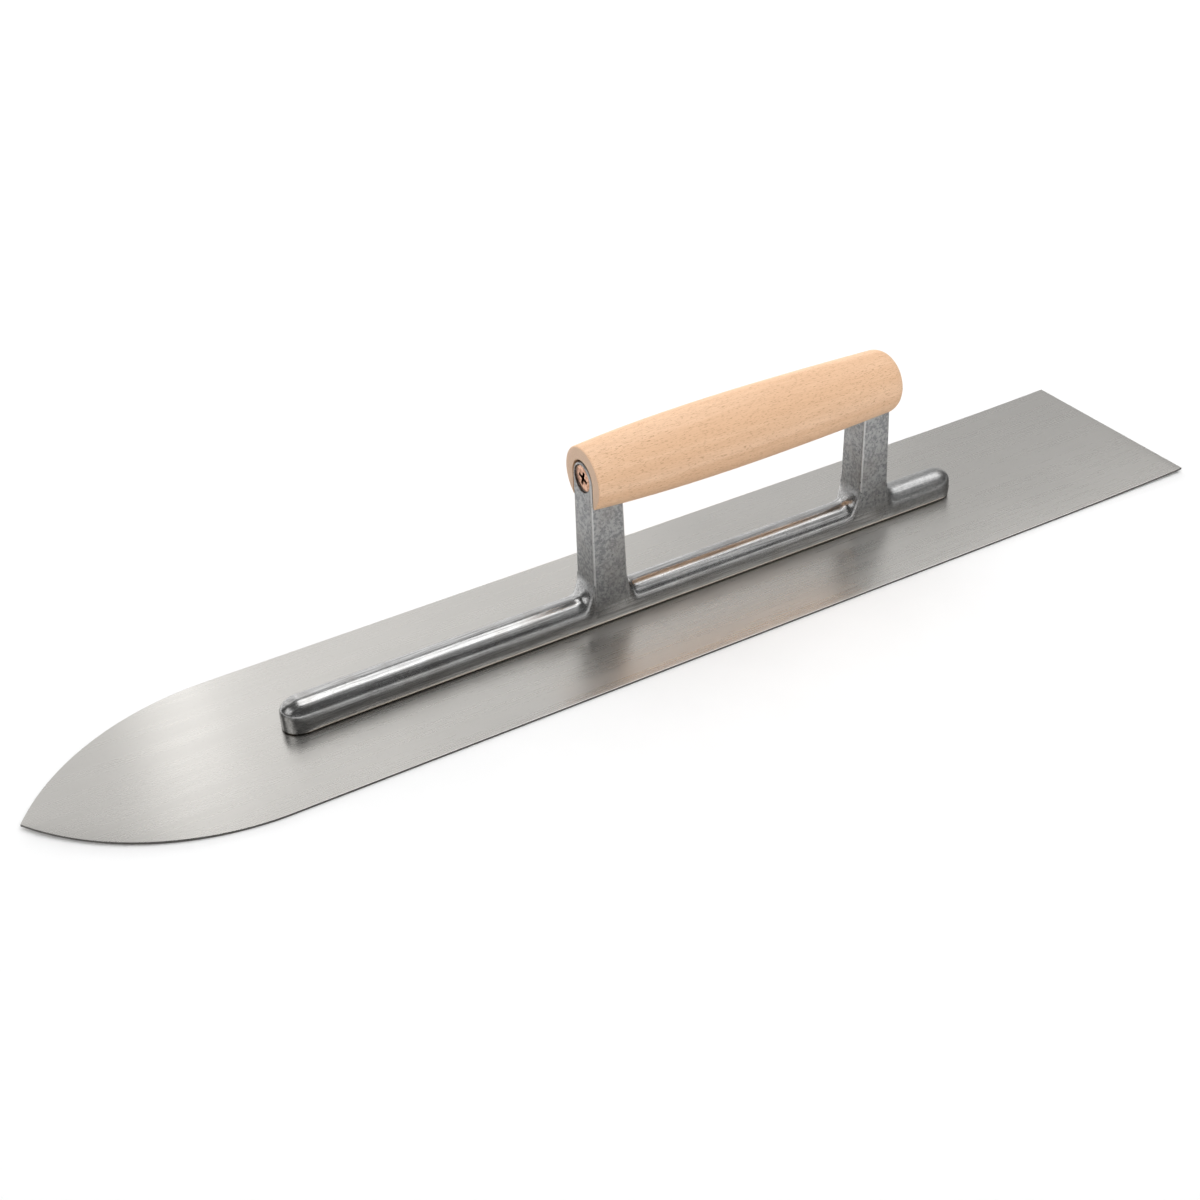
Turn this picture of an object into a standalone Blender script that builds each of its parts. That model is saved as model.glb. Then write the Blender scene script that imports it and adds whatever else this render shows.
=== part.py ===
"""Pointed finishing trowel with a bridge handle, in metres, +Z up.

The blade lies on z = 0 with its point towards -X. A cast rail runs along its
middle and carries two posts. The turned handle spans the posts, which sit in
slots in its ends, and a wood screw through each post holds it. Rivets put in
from the blade's underside hold the rail.
"""
import math

import bmesh
import bpy
from mathutils import Matrix, Vector

# Gap left between pieces that touch on the real tool.
FIT_GAP = 0.0003

# Blade
BLADE_LENGTH = 0.500
BLADE_WIDTH = 0.090
BLADE_THICKNESS = 0.0010
POINT_ARC_RADIUS = 0.098
POINT_BLUNT = 0.0004
END_LIFT = 0.0010
END_LIFT_LENGTH = 0.065

# Mounting: its width tapers evenly from the blade up to the screws
MOUNTING_BASE_WIDTH = 0.0142
MOUNTING_TOP_WIDTH = 0.0130

# Rail of the mounting
RAIL_LENGTH = 0.3087
RAIL_WALL_HEIGHT = 0.0068
RAIL_CROWN_HEIGHT = 0.0056
RAIL_CENTRE_X = 0.0005

# Posts of the mounting: thickness at the screw and at the rail
FRONT_POST_TOP = 0.0138
FRONT_POST_BASE = 0.0150
FRONT_POST_PROUD = 0.0003
REAR_POST_TOP = 0.0124
REAR_POST_BASE = 0.0144
REAR_POST_INSET = 0.0036
POST_SIDE_STEP = 0.0001
POST_FOOT_HEIGHT = 0.0012
POST_EDGE_ROUND = 0.0008
POST_FILLET = 0.0075

# Handle
HANDLE_LENGTH = 0.1435
HANDLE_FRONT_X = -0.0240
HANDLE_AXIS_Z = 0.0645
HANDLE_FRONT_RADIUS = 0.0126
HANDLE_BELLY_RADIUS = 0.0148
HANDLE_REAR_RADIUS = 0.0129
HANDLE_BELLY_FROM_FRONT = 0.066
HANDLE_FRONT_ROUND = 0.0008
HANDLE_REAR_ROUND = 0.0056
SLOT_SIDE_GAP = 0.0005

# Handle screws
SCREW_HEAD_DIAMETER = 0.0094
SCREW_SHANK_DIAMETER = 0.0048
SCREW_LENGTH = 0.036
SCREW_HEAD_DEPTH = 0.0006
SCREW_HEAD_EDGE = 0.0001
SCREW_TIP_LENGTH = 0.005
RECESS_SPAN = 0.0052
RECESS_WIDTH = 0.0012
RECESS_DEPTH = 0.0020
RECESS_FLOOR_SHARE = 0.45

# Blade rivets
RIVET_COUNT = 7
RIVET_PITCH = 0.045
RIVET_SHANK_DIAMETER = 0.0040
RIVET_HEAD_DIAMETER = 0.0060
RIVET_HEAD_DEPTH = 0.0008
RIVET_HEAD_EDGE = 0.0001
RIVET_LENGTH = 0.0085

# Facets
ROUND_STEPS = 40
CUTTER_OVERRUN = 0.001

# Places worked out from the sizes above
POINT_LENGTH = math.sqrt(POINT_ARC_RADIUS ** 2 - (POINT_ARC_RADIUS - BLADE_WIDTH / 2) ** 2)
RAIL_BASE_Z = BLADE_THICKNESS + FIT_GAP
RAIL_SPRING_Z = BLADE_THICKNESS + RAIL_WALL_HEIGHT
RAIL_FRONT_X = RAIL_CENTRE_X - RAIL_LENGTH / 2
RAIL_REAR_X = RAIL_CENTRE_X + RAIL_LENGTH / 2
POST_FOOT_Z = BLADE_THICKNESS + POST_FOOT_HEIGHT
POST_TOP_RADIUS = MOUNTING_TOP_WIDTH / 2
HANDLE_REAR_X = HANDLE_FRONT_X + HANDLE_LENGTH
FRONT_FACE_X = HANDLE_FRONT_X - FRONT_POST_PROUD
REAR_FACE_X = HANDLE_REAR_X - REAR_POST_INSET

# Each post as (middle along X, thickness at the screw, thickness at the rail)
FRONT_POST = (FRONT_FACE_X + FRONT_POST_TOP / 2, FRONT_POST_TOP, FRONT_POST_BASE)
REAR_POST = (REAR_FACE_X - REAR_POST_TOP / 2, REAR_POST_TOP, REAR_POST_BASE)


def clear_scene():
    for item in list(bpy.data.objects):
        bpy.data.objects.remove(item, do_unlink=True)


def make_material(name, colour, roughness, metallic):
    material = bpy.data.materials.new(name)
    material.use_nodes = True
    shader = material.node_tree.nodes["Principled BSDF"]
    shader.inputs["Base Color"].default_value = (*colour, 1.0)
    shader.inputs["Roughness"].default_value = roughness
    shader.inputs["Metallic"].default_value = metallic
    return material


def object_from_bmesh(name, mesh_data, material=None, smooth_angle=35.0):
    bmesh.ops.recalc_face_normals(mesh_data, faces=mesh_data.faces)
    mesh = bpy.data.meshes.new(name)
    mesh_data.to_mesh(mesh)
    mesh_data.free()
    mesh.shade_smooth()
    mesh.set_sharp_from_angle(angle=math.radians(smooth_angle))
    piece = bpy.data.objects.new(name, mesh)
    bpy.context.scene.collection.objects.link(piece)
    if material:
        mesh.materials.append(material)
    return piece


def loft(rings):
    """A closed body through rings of equal point count, with flat end caps."""
    shape = bmesh.new()
    loops = [[shape.verts.new(point) for point in ring] for ring in rings]
    for low, high in zip(loops, loops[1:]):
        for i in range(len(low)):
            j = (i + 1) % len(low)
            shape.faces.new((low[i], low[j], high[j], high[i]))
    shape.faces.new(reversed(loops[0]))
    shape.faces.new(loops[-1])
    return shape


def turned(profile, steps=ROUND_STEPS):
    """A body turned about the X axis from (x, radius) points."""
    angles = [math.tau * i / steps for i in range(steps)]
    rings = [[(x, r * math.cos(a), r * math.sin(a)) for a in angles] for x, r in profile]
    return loft(rings)


def quarter_round(centre_x, centre_r, radius, start, steps):
    """Points of a 90 degree arc in the (x, radius) plane, starting at an angle in degrees."""
    angles = [math.radians(start - 90.0 * i / steps) for i in range(steps + 1)]
    return [(centre_x + radius * math.cos(a), centre_r + radius * math.sin(a)) for a in angles]


def make_cutter(name, mesh_data):
    cutter = object_from_bmesh(name, mesh_data)
    cutter.hide_render = True
    cutter.display_type = "WIRE"
    return cutter


def apply_boolean(piece, other, operation):
    modifier = piece.modifiers.new(f"{operation.lower()}_{other.name}", "BOOLEAN")
    modifier.operation = operation
    modifier.solver = "EXACT"
    modifier.object = other


# Blade -------------------------------------------------------------------------------------

def blade_half_width(from_point):
    """Half the blade's width at a distance from its point: an arc, then straight."""
    if from_point >= POINT_LENGTH:
        return BLADE_WIDTH / 2
    drop = math.sqrt(POINT_ARC_RADIUS ** 2 - (POINT_LENGTH - from_point) ** 2)
    return max(BLADE_WIDTH / 2 - POINT_ARC_RADIUS + drop, POINT_BLUNT / 2)


def blade_lift(from_end):
    """How far the blade has risen at a distance from its nearer end: it is bent up a little."""
    return END_LIFT * max(0.0, 1 - from_end / END_LIFT_LENGTH)


def blade_stations():
    """Distances from the point at which the blade's outline or its lift changes."""
    point = [POINT_LENGTH * (1 - math.cos(math.pi / 2 * i / 18)) for i in range(18)]
    bends = [END_LIFT_LENGTH, BLADE_LENGTH - END_LIFT_LENGTH]
    return sorted(point + bends + [POINT_LENGTH, BLADE_LENGTH])


def make_blade(material):
    rings = []
    for distance in blade_stations():
        x = distance - BLADE_LENGTH / 2
        half = blade_half_width(distance)
        low = blade_lift(min(distance, BLADE_LENGTH - distance))
        high = low + BLADE_THICKNESS
        rings.append([(x, -half, low), (x, half, low), (x, half, high), (x, -half, high)])
    return object_from_bmesh("blade", loft(rings), material)


# Mounting: one casting of a rail and two posts -----------------------------------------------

def mounting_half_width(z):
    share = (z - BLADE_THICKNESS) / (HANDLE_AXIS_Z - BLADE_THICKNESS)
    return (MOUNTING_BASE_WIDTH + (MOUNTING_TOP_WIDTH - MOUNTING_BASE_WIDTH) * share) / 2


def post_half_thickness(post, z):
    middle, top, base = post
    share = (z - RAIL_SPRING_Z) / (HANDLE_AXIS_Z - RAIL_SPRING_Z)
    return (base + (top - base) * share) / 2


def rail_ring(x, scale, lift):
    """Section of the rail: walls and a round crown, the crown raised by the given lift."""
    spring = RAIL_SPRING_Z + lift
    half = mounting_half_width(spring) * scale
    base = mounting_half_width(RAIL_BASE_Z) * scale
    crown = [math.pi * i / 12 for i in range(13)]
    ring = [(x, -base, RAIL_BASE_Z)]
    ring += [
        (x, -half * math.cos(a), spring + RAIL_CROWN_HEIGHT * scale * math.sin(a)) for a in crown
    ]
    ring.append((x, base, RAIL_BASE_Z))
    return ring


def fillet_stations(face_x, outward):
    """Stations of the fillet between a post's face and the rail, from the face outwards."""
    stations = []
    for i in range(1, 8):
        angle = math.pi / 2 * (1 - i / 8)
        run = POST_FILLET * (1 - math.sin(angle))
        lift = POST_FILLET * (1 - math.cos(angle))
        stations.append((face_x + outward * run, 1.0, lift))
    stations.append((face_x + outward * POST_FILLET, 1.0, 0.0))
    return stations


def end_stations(end_x, inward):
    """Stations of the rail's rounded end, from its tip inwards."""
    radius = mounting_half_width(RAIL_BASE_Z)
    stations = []
    for i in range(1, 8):
        angle = math.pi / 2 * i / 7
        x = end_x + inward * radius * (1 - math.cos(angle))
        stations.append((x, math.sin(angle), 0.0))
    return stations


def rail_body():
    """The rail, with its rounded ends and the fillets that rise to the posts."""
    stations = end_stations(RAIL_FRONT_X, 1)
    for post in (FRONT_POST, REAR_POST):
        half = post_half_thickness(post, RAIL_SPRING_Z + POST_FILLET)
        inner = half - 2 * POST_EDGE_ROUND
        stations += reversed(fillet_stations(post[0] - half, -1))
        stations.append((post[0] - inner, 1.0, POST_FILLET))
        stations.append((post[0] + inner, 1.0, POST_FILLET))
        stations += fillet_stations(post[0] + half, 1)
    stations += reversed(end_stations(RAIL_REAR_X, -1))
    return loft([rail_ring(*station) for station in stations])


def post_body(post):
    """A post: tapered sides, a round top about the screw, and eased edges.

    It stands down into the rail, and its sides stand a hair proud of the rail's.
    """
    arc = [math.pi * i / 16 for i in range(17)]
    foot = mounting_half_width(POST_FOOT_Z) + POST_SIDE_STEP
    outline = [(-foot, POST_FOOT_Z)]
    outline += [
        (-POST_TOP_RADIUS * math.cos(a), HANDLE_AXIS_Z + POST_TOP_RADIUS * math.sin(a))
        for a in arc
    ]
    outline.append((foot, POST_FOOT_Z))
    ease = POST_EDGE_ROUND
    rings = []
    for side, back, inset in (
        (-1, 0.0, ease),
        (-1, 0.3 * ease, 0.3 * ease),
        (-1, ease, 0.0),
        (1, ease, 0.0),
        (1, 0.3 * ease, 0.3 * ease),
        (1, 0.0, ease),
    ):
        scale = 1 - inset / POST_TOP_RADIUS
        ring = []
        for y, z in outline:
            x = post[0] + side * (post_half_thickness(post, z) - back)
            height = HANDLE_AXIS_Z + max(z - HANDLE_AXIS_Z, 0.0) * scale
            ring.append((x, y * scale, min(z, height)))
        rings.append(ring)
    return loft(rings)


def screw_hole(face_x, inward):
    """Countersunk hole through a post, from its outer face inwards."""
    shank = SCREW_SHANK_DIAMETER / 2 + FIT_GAP
    head = SCREW_HEAD_DIAMETER / 2 + SCREW_HEAD_DEPTH + SCREW_HEAD_EDGE
    rim = head + FIT_GAP * math.sqrt(2)
    reach = FRONT_POST_BASE + REAR_POST_BASE
    profile = [
        (-CUTTER_OVERRUN, rim + CUTTER_OVERRUN),
        (rim - shank, shank),
        (reach, shank),
    ]
    cutter = make_cutter("cut_screw_hole", turned(profile))
    turn = Matrix.Identity(4) if inward > 0 else Matrix.Rotation(math.pi, 4, "Z")
    cutter.matrix_world = Matrix.Translation((face_x, 0, HANDLE_AXIS_Z)) @ turn
    return cutter


def rivet_places():
    first = RAIL_CENTRE_X - RIVET_PITCH * (RIVET_COUNT - 1) / 2
    return [first + RIVET_PITCH * i for i in range(RIVET_COUNT)]


def rivet_profile(gap, overrun):
    """(height, radius) points of a rivet, or with a gap and an overrun of the hole for it."""
    head = RIVET_HEAD_DIAMETER / 2 + gap
    shank = RIVET_SHANK_DIAMETER / 2 + gap
    return [
        (-overrun, head),
        (RIVET_HEAD_EDGE, head),
        (RIVET_HEAD_DEPTH, shank),
        (RIVET_LENGTH + gap, shank),
    ]


def upright(profile, place_x, steps):
    """Turned about X as drawn, then stood up along Z at a place on the blade's middle line."""
    body = turned(profile, steps)
    bmesh.ops.rotate(body, verts=body.verts, matrix=Matrix.Rotation(-math.pi / 2, 3, "Y"))
    bmesh.ops.translate(body, verts=body.verts, vec=Vector((place_x, 0, 0)))
    return body


def rivet_hole_cutter():
    joined = bmesh.new()
    for place_x in rivet_places():
        hole = upright(rivet_profile(FIT_GAP, CUTTER_OVERRUN), place_x, 20)
        mesh = bpy.data.meshes.new("rivet_hole")
        hole.to_mesh(mesh)
        hole.free()
        joined.from_mesh(mesh)
        bpy.data.meshes.remove(mesh)
    return make_cutter("cut_rivet_holes", joined)


def make_mounting(material, rivet_holes):
    mounting = object_from_bmesh("mounting", rail_body(), material)
    for name, post in (("front", FRONT_POST), ("rear", REAR_POST)):
        added = make_cutter(f"add_{name}_post", post_body(post))
        apply_boolean(mounting, added, "UNION")
    apply_boolean(mounting, screw_hole(FRONT_FACE_X, 1), "DIFFERENCE")
    apply_boolean(mounting, screw_hole(REAR_FACE_X, -1), "DIFFERENCE")
    apply_boolean(mounting, rivet_holes, "DIFFERENCE")
    return mounting


# Handle --------------------------------------------------------------------------------------

def handle_radius(from_front):
    """Radius of the turned handle: it swells to a belly and tapers to each end."""
    if from_front < HANDLE_BELLY_FROM_FRONT:
        share = 1 - from_front / HANDLE_BELLY_FROM_FRONT
        end_radius = HANDLE_FRONT_RADIUS
        power = 2.4
    else:
        share = (from_front - HANDLE_BELLY_FROM_FRONT) / (HANDLE_LENGTH - HANDLE_BELLY_FROM_FRONT)
        end_radius = HANDLE_REAR_RADIUS
        power = 1.6
    return HANDLE_BELLY_RADIUS - (HANDLE_BELLY_RADIUS - end_radius) * share ** power


def handle_profile():
    front = quarter_round(
        HANDLE_FRONT_ROUND, handle_radius(HANDLE_FRONT_ROUND) - HANDLE_FRONT_ROUND,
        HANDLE_FRONT_ROUND, 180, 3,
    )
    rear_start = HANDLE_LENGTH - HANDLE_REAR_ROUND
    rear = quarter_round(
        rear_start, handle_radius(rear_start) - HANDLE_REAR_ROUND, HANDLE_REAR_ROUND, 90, 6,
    )
    count = 16
    span = rear_start - HANDLE_FRONT_ROUND
    middle = [HANDLE_FRONT_ROUND + span * i / count for i in range(1, count)]
    return front + [(x, handle_radius(x)) for x in middle] + rear


def slot_cutter(name, end_x, post, inward):
    """The slot that a post fits: round about the screw and open downwards."""
    half = POST_TOP_RADIUS + SLOT_SIDE_GAP
    arc = [math.pi * i / 12 for i in range(13)]
    bottom = -(HANDLE_BELLY_RADIUS + CUTTER_OVERRUN)
    outline = [(-half, bottom)]
    outline += [(-half * math.cos(a), half * math.sin(a)) for a in arc]
    outline.append((half, bottom))
    near = end_x - inward * CUTTER_OVERRUN
    back = post_half_thickness(post, HANDLE_AXIS_Z - HANDLE_BELLY_RADIUS)
    far = post[0] + inward * (back + FIT_GAP)
    rings = [[(x, y, HANDLE_AXIS_Z + z) for y, z in outline] for x in sorted((near, far))]
    return make_cutter(name, loft(rings))


def pilot_cutter(name, face_x, inward):
    """The hole in the wood for a screw, running on from the slot's end."""
    radius = SCREW_SHANK_DIAMETER / 2 + FIT_GAP
    end = SCREW_LENGTH + SCREW_HEAD_DEPTH + CUTTER_OVERRUN
    start = min(FRONT_POST_TOP, REAR_POST_TOP) - CUTTER_OVERRUN
    cutter = make_cutter(name, turned([(start, radius), (end, radius)], 24))
    turn = Matrix.Identity(4) if inward > 0 else Matrix.Rotation(math.pi, 4, "Z")
    cutter.matrix_world = Matrix.Translation((face_x, 0, HANDLE_AXIS_Z)) @ turn
    return cutter


def make_handle(material):
    handle = object_from_bmesh("handle", turned(handle_profile(), 48), material)
    handle.location = (HANDLE_FRONT_X, 0, HANDLE_AXIS_Z)
    cutters = (
        slot_cutter("cut_front_slot", HANDLE_FRONT_X, FRONT_POST, 1),
        slot_cutter("cut_rear_slot", HANDLE_REAR_X, REAR_POST, -1),
        pilot_cutter("cut_front_pilot", FRONT_FACE_X, 1),
        pilot_cutter("cut_rear_pilot", REAR_FACE_X, -1),
    )
    for cutter in cutters:
        apply_boolean(handle, cutter, "DIFFERENCE")
    return handle


# Fasteners -----------------------------------------------------------------------------------

def recess_arm(turn):
    """One arm of the cross recess, tapering towards its floor."""
    top = (RECESS_SPAN / 2, RECESS_WIDTH / 2)
    floor = (top[0] * RECESS_FLOOR_SHARE, top[1] * RECESS_FLOOR_SHARE)
    slope = (top[0] - floor[0]) / RECESS_DEPTH
    mouth = (top[0] + slope * CUTTER_OVERRUN, top[1])
    rings = []
    for x, (long_half, short_half) in ((-CUTTER_OVERRUN, mouth), (RECESS_DEPTH, floor)):
        corners = ((-1, -1), (1, -1), (1, 1), (-1, 1))
        rings.append([(x, sy * long_half, sz * short_half) for sy, sz in corners])
    arm = loft(rings)
    bmesh.ops.rotate(arm, verts=arm.verts, matrix=Matrix.Rotation(turn, 3, "X"))
    return arm


def screw_mesh(name, material):
    """A countersunk cross-head wood screw along +X, its head's face at the origin."""
    head = SCREW_HEAD_DIAMETER / 2
    shank = SCREW_SHANK_DIAMETER / 2
    cone_end = SCREW_HEAD_EDGE + head - shank
    profile = [
        (0.0, head - SCREW_HEAD_EDGE),
        (SCREW_HEAD_EDGE, head),
        (cone_end, shank),
        (SCREW_LENGTH - SCREW_TIP_LENGTH, shank),
        (SCREW_LENGTH, 0.2 * shank),
    ]
    return object_from_bmesh(name, turned(profile, 32), material)


def make_screw(name, material, face_x, inward, arms):
    screw = screw_mesh(name, material)
    for arm in arms:
        apply_boolean(screw, arm, "DIFFERENCE")
    turn = Matrix.Identity(4) if inward > 0 else Matrix.Rotation(math.pi, 4, "Z")
    place = Vector((face_x + inward * SCREW_HEAD_DEPTH, 0, HANDLE_AXIS_Z))
    screw.matrix_world = Matrix.Translation(place) @ turn
    for arm in arms:
        arm.parent = screw
    return screw


def make_rivets(material):
    for number, place_x in enumerate(rivet_places(), 1):
        body = upright(rivet_profile(0.0, 0.0), place_x, 20)
        object_from_bmesh(f"rivet_{number}", body, material)


def main():
    clear_scene()
    steel = make_material("blade_steel", (0.46, 0.46, 0.45), 0.32, 1.0)
    aluminium = make_material("cast_aluminium", (0.55, 0.55, 0.54), 0.38, 1.0)
    beech = make_material("beech", (0.72, 0.50, 0.33), 0.55, 0.0)
    brass = make_material("screw_brass", (0.62, 0.42, 0.32), 0.35, 1.0)
    rivet_steel = make_material("rivet_steel", (0.42, 0.42, 0.42), 0.35, 1.0)

    rivet_holes = rivet_hole_cutter()
    blade = make_blade(steel)
    apply_boolean(blade, rivet_holes, "DIFFERENCE")
    make_mounting(aluminium, rivet_holes)
    make_handle(beech)
    for name, face_x, inward in (
        ("front_screw", FRONT_FACE_X, 1),
        ("rear_screw", REAR_FACE_X, -1),
    ):
        turns = (math.radians(20), math.radians(110))
        arms = [make_cutter(f"cut_{name}_{i}", recess_arm(t)) for i, t in enumerate(turns)]
        make_screw(name, brass, face_x, inward, arms)
    make_rivets(rivet_steel)


main()
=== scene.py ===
import math

import bmesh
import bpy
from mathutils import Matrix, Vector, noise


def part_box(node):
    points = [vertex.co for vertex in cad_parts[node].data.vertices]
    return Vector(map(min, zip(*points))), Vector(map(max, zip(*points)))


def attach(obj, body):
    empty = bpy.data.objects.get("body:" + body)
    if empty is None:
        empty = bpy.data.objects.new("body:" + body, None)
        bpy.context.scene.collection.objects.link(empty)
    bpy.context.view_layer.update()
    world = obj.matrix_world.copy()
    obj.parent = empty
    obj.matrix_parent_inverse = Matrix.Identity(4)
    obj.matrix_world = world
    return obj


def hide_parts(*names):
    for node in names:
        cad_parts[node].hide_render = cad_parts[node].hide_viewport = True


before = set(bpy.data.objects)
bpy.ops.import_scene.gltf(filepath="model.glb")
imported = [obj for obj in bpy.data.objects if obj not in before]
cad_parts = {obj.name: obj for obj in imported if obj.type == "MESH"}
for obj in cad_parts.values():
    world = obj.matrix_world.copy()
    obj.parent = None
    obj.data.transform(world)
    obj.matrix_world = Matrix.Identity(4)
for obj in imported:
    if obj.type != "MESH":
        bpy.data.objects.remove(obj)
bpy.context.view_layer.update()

# Pointed finishing trowel: a brushed steel blade, a cast aluminium mounting with two posts,
# a turned beech handle, two wood screws and the rivets that hold the mounting. Lengths are in
# metres. The blade's point is towards -X, and +Z is up.

BLADE_LOW, BLADE_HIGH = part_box("blade")
CAST_LOW, CAST_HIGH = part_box("mounting")
WOOD_LOW, WOOD_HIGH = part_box("handle")
FRONT_SCREW_LOW, FRONT_SCREW_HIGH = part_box("front_screw")
REAR_SCREW_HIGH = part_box("rear_screw")[1]

# Blade: each end rises over the lift's length, partly as a slope and partly as a curve
BLADE_THICKNESS = 0.0010
POINT_ARC_RADIUS = 0.098
POINT_BLUNT = 0.0005
END_LIFT_LENGTH = 0.065
END_LIFT_STRAIGHT = 0.35
BLADE_EDGE = 0.00018
EDGE_MAX_SHARE = 0.45
EDGE_STEPS = 4
END_EDGE_SHARE = 0.6
END_EDGE_STEPS = 5
TIP_RUN = 0.095
TIP_STEPS = 60
STRAIGHT_STEP = 0.005

# Mounting: the rail's foot is undercut, least at its front end, its walls curve in towards
# the crown, a fine ledge marks the parting line, and the crown dips behind the rear post
BASE_HALF = 0.0071
TOP_HALF = 0.0065
CAST_BASE_Z = BLADE_THICKNESS + 0.0002
WALL_HEIGHT = 0.0068
CROWN_HEIGHT = 0.0056
REAR_CROWN_DROP = 0.0005
CROWN_RIPPLE = 0.00003
RIPPLE_RATE = 120
CROWN_STEPS = 48
BEVEL_HEIGHT = 0.0026
BEVEL_INSET = 0.00065
BEVEL_LOW_SHARE = 0.25
BEVEL_LOW_LENGTH = 0.003
TAPER_LENGTH = 0.012
PARTING_LEDGE = 0.00014
FAINT_LEDGE_SHARE = 0.12
LEDGE_LIP_SHARE = 0.3
WALL_CURVE = 0.00045
WALL_SHARES = (0.0, 0.15, 0.3, 0.45, 0.6, 0.75, 0.9, 0.98)
RAIL_END_ROUND = 0.0082
RAIL_END_STEPS = 22
RAIL_STEP = 0.003

# Posts: thickness at the screw and at the rail
FRONT_POST = (0.0138, 0.0150)
REAR_POST = (0.0124, 0.0144)
FRONT_POST_PROUD = 0.0003
REAR_POST_INSET = 0.0036
POST_SIDE_STEP = 0.00003
POST_SUNK_FOOT = 0.004
POST_STEPS = 24
POST_EDGE = 0.0008
POST_EDGE_STEPS = 6
POST_FILLET = 0.0075
FILLET_FACE_SHARE = 0.6
FILLET_STEPS = 24
CREASE_RUN = 0.0045
ROUND_TOP_STEPS = 48
HOLE_RIM = 0.0057
HOLE_STRAIGHT = 0.0009
HOLE_BREAK = 0.0001
HOLE_DEPTH = 0.030
SHANK_GAP = 0.0003
CUT_OVERRUN = 0.001

# Handle
BELLY_RADIUS = (WOOD_HIGH.y - WOOD_LOW.y) / 2
FRONT_RADIUS = 0.0126
REAR_RADIUS = 0.0129
BELLY_FROM_FRONT = 0.066
FRONT_BREAK = 0.0008
REAR_ROUND = 0.0056
FRONT_POWER = 2.4
REAR_POWER = 1.6
HANDLE_STEPS = 90
FRONT_BREAK_STEPS = 6
REAR_ROUND_STEPS = 14
HANDLE_TURN_STEPS = 128
SLOT_GAP = 0.0010
SLOT_END_GAP = 0.0003
SLOT_DROP = 0.020
PILOT_RADIUS = 0.0027
PILOT_SPAN = (0.0118, 0.0380)
PILOT_TURN_STEPS = 32

# Screws and rivets
SCREW_HEAD_RADIUS = 0.0053
SCREW_HEAD_RIM = 0.00025
SCREW_HEAD_BREAK = 0.00008
SCREW_SHANK_RADIUS = 0.0024
SCREW_TIP_LENGTH = 0.005
THREAD_START = 0.012
THREAD_PITCH = 0.0018
THREAD_ROOT_SPAN = (0.0007, 0.0011)
THREAD_ROOT_SHARE = 0.78
SCREW_TIP_SHARE = 0.2
SCREW_TURN_STEPS = 96
RECESS_SPAN = 0.0060
RECESS_WIDTH = 0.0015
RECESS_DEPTH = 0.0026
RECESS_FLOOR_SHARE = 0.25
RECESS_OVERRUN = 0.0005
RECESS_MOUTH_SHARE = 1.06
RECESS_TURN = 20
RIVET_HEAD_RADIUS = 0.0030
RIVET_HEAD_RIM = 0.0001
RIVET_HEAD_DEPTH = 0.0008
RIVET_SHANK_RADIUS = 0.0020
RIVET_LENGTH = 0.0085
RIVET_SEAM = 0.00006
RIVET_CUT_OVERRUN = 0.0006
RIVET_TURN_STEPS = 64

# Edges sharper than this stay sharp
SHARP_ANGLE = math.radians(30)

# Camera: it looks from this azimuth and elevation, in degrees, at the target
CAMERA_AZIMUTH = -29.54
CAMERA_ELEVATION = 35.33
CAMERA_ROLL = -2.41
CAMERA_TARGET = (-0.02335, -0.02065, 0.001)
CAMERA_DISTANCE = 0.6875
CAMERA_LENS = 53.416
CAMERA_SENSOR = 36.0
CAMERA_SHIFT = (-0.01497, 0.03608)

# Floor
FLOOR_HALF = 6.0
FLOOR_GAP = 0.00005

# Lights. Radiance is what a mirror would show, with 1.0 as white.
WORLD_RADIANCE = 0.10
# name, direction, distance, size, radiance
PANELS = (
    ("overhead", (0.37, -0.02, 0.93), 1.5, (1.0, 1.6), 1.9),
    ("above_front", (0.40, -0.55, 0.76), 1.5, (0.45, 1.7), 0.6),
    ("left", (-0.85, -0.15, 0.50), 2.0, (1.2, 1.2), 0.9),
)
# name, from azimuth, to azimuth, top, radiance: a wall of upright panels behind the object
WALL_DISTANCE = 2.0
WALL_BOTTOM = 0.05
WALL_PANELS = (
    ("behind_far_left", -46, 1.5, 3.4, 0.77),
    ("behind_left", 1.5, 4, 3.4, 1.10),
    ("behind_bright", 4, 7, 3.4, 1.80),
    ("behind_centre", 7, 9.5, 3.4, 1.02),
    ("behind_near_middle", 9.5, 18, 3.4, 0.91),
    ("behind_middle", 18, 28, 3.4, 0.85),
    ("behind_right", 28, 40, 2.6, 0.64),
    ("far_right", 40, 66, 2.6, 0.48),
)
# Fill panels light the wood and the floor, but don't show in the metal.
FILL_PANELS = (
    ("fill_above", (0.0, 0.15, 1.0), 2.2, (3.0, 3.0), 0.70),
    ("fill_front", (-0.25, -0.80, 0.42), 2.2, (2.4, 2.0), 1.25),
    ("fill_low", (0.05, 0.97, 0.20), 2.2, (3.0, 0.5), 6.0),
)

# Places worked out from the frame
HANDLE_AXIS_Z = (WOOD_LOW.z + WOOD_HIGH.z) / 2
HANDLE_LENGTH = WOOD_HIGH.x - WOOD_LOW.x
BLADE_LENGTH = BLADE_HIGH.x - BLADE_LOW.x
BLADE_HALF = (BLADE_HIGH.y - BLADE_LOW.y) / 2
END_LIFT = BLADE_HIGH.z - BLADE_LOW.z - BLADE_THICKNESS
SPRING_Z = BLADE_THICKNESS + WALL_HEIGHT
FRONT_FACE_X = WOOD_LOW.x - FRONT_POST_PROUD
REAR_FACE_X = WOOD_HIGH.x - REAR_POST_INSET
FRONT_POST_X = FRONT_FACE_X + FRONT_POST[0] / 2
REAR_POST_X = REAR_FACE_X - REAR_POST[0] / 2
POSTS = ((FRONT_POST_X, FRONT_POST), (REAR_POST_X, REAR_POST))
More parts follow.
